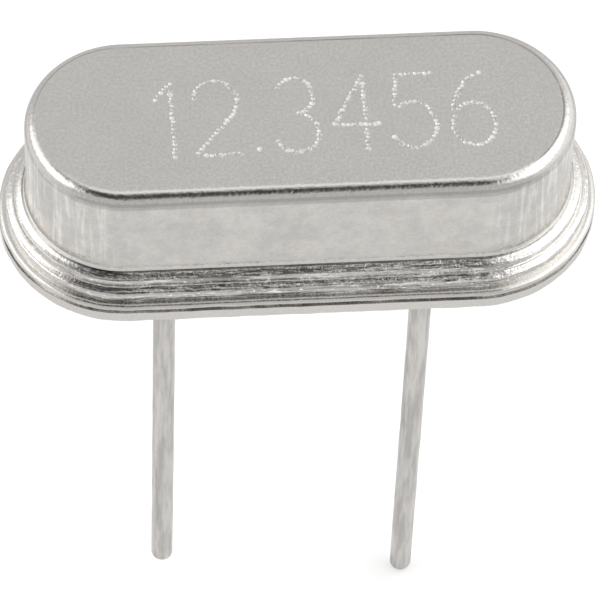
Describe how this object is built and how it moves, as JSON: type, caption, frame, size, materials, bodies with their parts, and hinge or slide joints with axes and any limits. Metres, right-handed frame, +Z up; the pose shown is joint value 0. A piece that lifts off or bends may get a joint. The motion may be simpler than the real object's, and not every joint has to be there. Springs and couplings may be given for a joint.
{
  "type": "quartz crystal unit",
  "caption": "Low-profile quartz crystal in a welded metal package with a stadium outline, a stepped flange and round wire leads in glass seals.",
  "frame": {"origin": "centre of the seating plane, the flat underside of the base plate, midway between the two leads", "axes": "+Z up through the cover; the leads point to -Z; +X along the package through both leads"},
  "size_m": [0.011, 0.0046, 0.016],
  "materials": {
    "cover": "satin nickel-coloured sheet with a fine grain, blank or with plain peened numbers on the roof",
    "base": "nickel-plated steel, satin",
    "seal_glass": "dark sealing glass, glossy",
    "lead": "tinned wire, satin",
    "clip": "thin spring strip, satin",
    "quartz": "lapped clear quartz",
    "film": "bright evaporated silver",
    "cement": "silver-filled conductive cement, matt"
  },
  "bodies": {
    "root": {"cover": "cover", "base_plate": "base", "glass_seal_left": "seal_glass", "glass_seal_right": "seal_glass", "lead_left": "lead", "lead_right": "lead", "spring_clip_left": "clip", "spring_clip_right": "clip", "quartz_blank": "quartz", "electrode_upper": "film", "electrode_lower": "film", "cement_left_front": "cement", "cement_left_back": "cement", "cement_right_front": "cement", "cement_right_back": "cement"}
  },
  "joints": []
}
